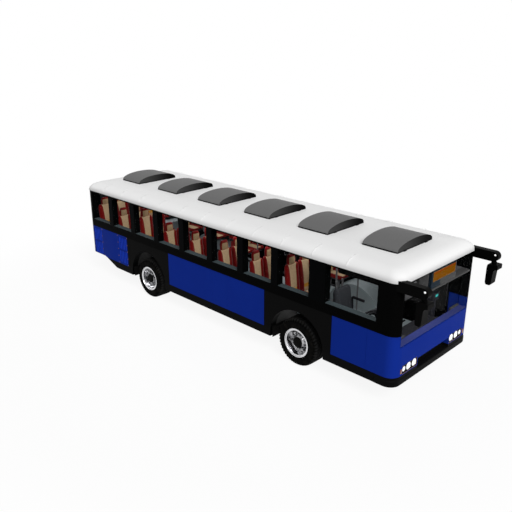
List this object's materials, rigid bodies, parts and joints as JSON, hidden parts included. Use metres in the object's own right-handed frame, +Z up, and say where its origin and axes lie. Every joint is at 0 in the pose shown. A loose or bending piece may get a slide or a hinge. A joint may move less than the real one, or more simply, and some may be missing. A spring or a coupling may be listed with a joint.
{
  "type": "city bus",
  "caption": "Single-deck midi city bus with glazed cabin, high-back seats, folding doors, steered front wheels, opening roof hatches and a hinged engine lid.",
  "frame": {"origin": "on the ground, in the middle of the overall length (mirrors included) and width", "axes": "+X forward, along the longest extent; +Y to the bus's left, the door side; +Z up"},
  "size_m": [9.585, 2.55, 2.5723],
  "materials": {
    "body_paint": "gloss two-pack coach enamel",
    "roof_paint": "gloss white enamel on glass-fibre",
    "trim_plastic": "moulded, fine grain",
    "mirror_plastic": "moulded, satin",
    "chassis_steel": "black chassis paint",
    "floor_lining": "vinyl sheet",
    "hatch_acrylic": "smoked dome, moulded",
    "tyre_rubber": "moulded",
    "rim_chrome": "polished",
    "glazing": "tinted",
    "lamp_lens": "clear lens over a bright bowl",
    "display_face": "amber dot panel, blank",
    "seat_fabric": "woven moquette",
    "cab_plastic": "moulded, grained",
    "rail_steel": "powder coated",
    "door_paint": "gloss black enamel"
  },
  "bodies": {
    "body": {"underframe": "chassis_steel", "floor": "floor_lining", "front_right_wheel_housing": "floor_lining", "front_left_wheel_housing": "floor_lining", "rear_right_wheel_housing": "floor_lining", "rear_left_wheel_housing": "floor_lining", "rear_platform": "floor_lining", "front_axle_beam": "chassis_steel", "rear_axle": "chassis_steel", "engine": "chassis_steel", "driver_bay_wall": "body_paint", "right_side_wall": "body_paint", "left_side_wall": "body_paint", "front_wall": "body_paint", "front_bumper": "trim_plastic", "rear_wall": "body_paint", "roof": "roof_paint", "windscreen": "glazing", "right_glazing": "glazing", "left_front_glazing": "glazing", "left_rear_glazing": "glazing", "rear_window": "glazing", "headlight_right": "lamp_lens", "headlight_left": "lamp_lens", "mirror_right": "mirror_plastic", "mirror_left": "mirror_plastic", "destination_display": "display_face", "dashboard": "cab_plastic", "driver_seat": "cab_plastic", "right_seats": "seat_fabric", "left_seats": "seat_fabric", "rear_bench": "seat_fabric", "handrails": "rail_steel"},
    "right_knuckle": {"knuckle_right": "chassis_steel"},
    "left_knuckle": {"knuckle_left": "chassis_steel"},
    "front_right_wheel": {"front_right_tyre": "tyre_rubber", "front_right_rim": "rim_chrome"},
    "front_left_wheel": {"front_left_tyre": "tyre_rubber", "front_left_rim": "rim_chrome"},
    "rear_right_wheel": {"rear_right_tyre": "tyre_rubber", "rear_right_rim": "rim_chrome"},
    "rear_left_wheel": {"rear_left_tyre": "tyre_rubber", "rear_left_rim": "rim_chrome"},
    "steering_wheel": {"steering_wheel": "cab_plastic"},
    "engine_lid": {"engine_lid": "trim_plastic"},
    "front_door_front_leaf": {"front_door_front_leaf": "door_paint"},
    "front_door_rear_leaf": {"front_door_rear_leaf": "door_paint"},
    "mid_door_front_leaf": {"mid_door_front_leaf": "door_paint"},
    "mid_door_rear_leaf": {"mid_door_rear_leaf": "door_paint"},
    "roof_hatch_1": {"roof_hatch_1": "hatch_acrylic"},
    "roof_hatch_2": {"roof_hatch_2": "hatch_acrylic"},
    "roof_hatch_3": {"roof_hatch_3": "hatch_acrylic"},
    "roof_hatch_4": {"roof_hatch_4": "hatch_acrylic"},
    "roof_hatch_5": {"roof_hatch_5": "hatch_acrylic"},
    "roof_hatch_6": {"roof_hatch_6": "hatch_acrylic"}
  },
  "joints": [
    {"name": "steer_right", "type": "hinge", "parent": "body", "child": "right_knuckle", "pos_m": [2.2425, -0.93, 0.462], "axis": [0, 0, 1], "range_deg": [-40, 40]},
    {"name": "steer_left", "type": "hinge", "parent": "body", "child": "left_knuckle", "pos_m": [2.2425, 0.93, 0.462], "axis": [0, 0, 1], "range_deg": [-40, 40]},
    {"name": "steering_wheel_turn", "type": "hinge", "parent": "body", "child": "steering_wheel", "pos_m": [3.4625, -0.6, 1.29], "axis": [-0.5, 0, 0.866], "range_deg": [-720, 720]},
    {"name": "front_right_spin", "type": "hinge", "parent": "right_knuckle", "child": "front_right_wheel", "pos_m": [2.2425, -1.0225, 0.462], "axis": [0, 1, 0], "continuous": true},
    {"name": "rear_right_spin", "type": "hinge", "parent": "body", "child": "rear_right_wheel", "pos_m": [-2.3175, -1.0225, 0.462], "axis": [0, 1, 0], "continuous": true},
    {"name": "front_left_spin", "type": "hinge", "parent": "left_knuckle", "child": "front_left_wheel", "pos_m": [2.2425, 1.0225, 0.462], "axis": [0, 1, 0], "continuous": true},
    {"name": "rear_left_spin", "type": "hinge", "parent": "body", "child": "rear_left_wheel", "pos_m": [-2.3175, 1.0225, 0.462], "axis": [0, 1, 0], "continuous": true},
    {"name": "front_door_fold", "type": "hinge", "parent": "body", "child": "front_door_front_leaf", "pos_m": [3.8945, 1.238, 1.27], "axis": [0, 0, -1], "range_deg": [0, 82]},
    {"name": "front_door_leaf_hinge", "type": "hinge", "parent": "front_door_front_leaf", "child": "front_door_rear_leaf", "pos_m": [3.4525, 1.208, 1.27], "axis": [0, 0, -1], "range_deg": [-164, 0]},
    {"name": "mid_door_fold", "type": "hinge", "parent": "body", "child": "mid_door_front_leaf", "pos_m": [0.6145, 1.238, 1.27], "axis": [0, 0, -1], "range_deg": [0, 82]},
    {"name": "mid_door_leaf_hinge", "type": "hinge", "parent": "mid_door_front_leaf", "child": "mid_door_rear_leaf", "pos_m": [0.1725, 1.208, 1.27], "axis": [0, 0, -1], "range_deg": [-164, 0]},
    {"name": "roof_hatch_1_hinge", "type": "hinge", "parent": "body", "child": "roof_hatch_1", "pos_m": [3.7925, 0, 2.4073], "axis": [0, 1, 0], "range_deg": [0, 25]},
    {"name": "roof_hatch_2_hinge", "type": "hinge", "parent": "body", "child": "roof_hatch_2", "pos_m": [2.3365, 0, 2.4073], "axis": [0, 1, 0], "range_deg": [0, 25]},
    {"name": "roof_hatch_3_hinge", "type": "hinge", "parent": "body", "child": "roof_hatch_3", "pos_m": [0.8805, 0, 2.4073], "axis": [0, 1, 0], "range_deg": [0, 25]},
    {"name": "roof_hatch_4_hinge", "type": "hinge", "parent": "body", "child": "roof_hatch_4", "pos_m": [-0.5755, 0, 2.4073], "axis": [0, 1, 0], "range_deg": [0, 25]},
    {"name": "roof_hatch_5_hinge", "type": "hinge", "parent": "body", "child": "roof_hatch_5", "pos_m": [-2.0315, 0, 2.4073], "axis": [0, 1, 0], "range_deg": [0, 25]},
    {"name": "roof_hatch_6_hinge", "type": "hinge", "parent": "body", "child": "roof_hatch_6", "pos_m": [-3.4875, 0, 2.4073], "axis": [0, 1, 0], "range_deg": [0, 25]},
    {"name": "engine_lid_hinge", "type": "hinge", "parent": "body", "child": "engine_lid", "pos_m": [-4.7775, 0, 1.0897], "axis": [0, 1, 0], "range_deg": [0, 75]}
  ],
  "couplings": [
    {"joint": "steer_left", "follows": "steer_right", "ratio": 1},
    {"joint": "steering_wheel_turn", "follows": "steer_right", "ratio": 18},
    {"joint": "front_door_leaf_hinge", "follows": "front_door_fold", "ratio": -2},
    {"joint": "mid_door_leaf_hinge", "follows": "mid_door_fold", "ratio": -2}
  ]
}
